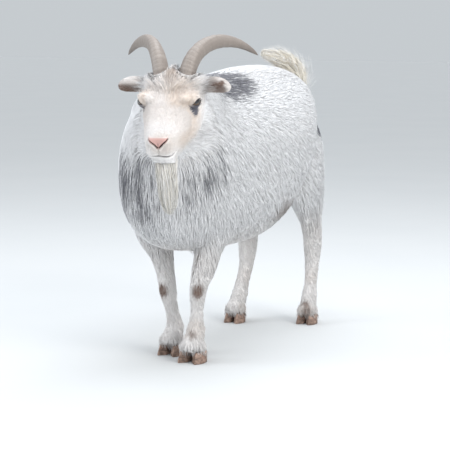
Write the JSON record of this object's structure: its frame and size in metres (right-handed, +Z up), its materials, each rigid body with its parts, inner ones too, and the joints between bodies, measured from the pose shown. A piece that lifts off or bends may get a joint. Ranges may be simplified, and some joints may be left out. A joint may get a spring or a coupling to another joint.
{
  "type": "goat",
  "caption": "Standing white goat with horns, a beard and an upturned tail, modelled life size as a still animal on four cloven feet.",
  "frame": {"origin": "middle of the base of the bounding box, on the floor the goat stands on", "axes": "+Z up, -Y the way the goat's body faces, +X the goat's left"},
  "size_m": [0.3692, 0.9376, 0.7787],
  "materials": {
    "coat_white": "white hair coat, short on the face and legs",
    "coat_cream": "long cream hair of beard and tail",
    "horn": "ringed grey-tan horn",
    "hoof": "dull brown hoof horn",
    "eye": "wet dark eye"
  },
  "bodies": {
    "root": {"beard": "coat_cream", "claw_front_left_left": "hoof", "claw_front_left_right": "hoof", "claw_front_right_left": "hoof", "claw_front_right_right": "hoof", "claw_hind_left_left": "hoof", "claw_hind_left_right": "hoof", "claw_hind_right_left": "hoof", "claw_hind_right_right": "hoof", "ear_left": "coat_white", "ear_right": "coat_white", "eye_left": "eye", "eye_right": "eye", "head": "coat_white", "horn_left": "horn", "horn_right": "horn", "leg_front_left": "coat_white", "leg_front_right": "coat_white", "leg_hind_left": "coat_white", "leg_hind_right": "coat_white", "neck": "coat_white", "tail": "coat_cream", "trunk": "coat_white"}
  },
  "joints": []
}
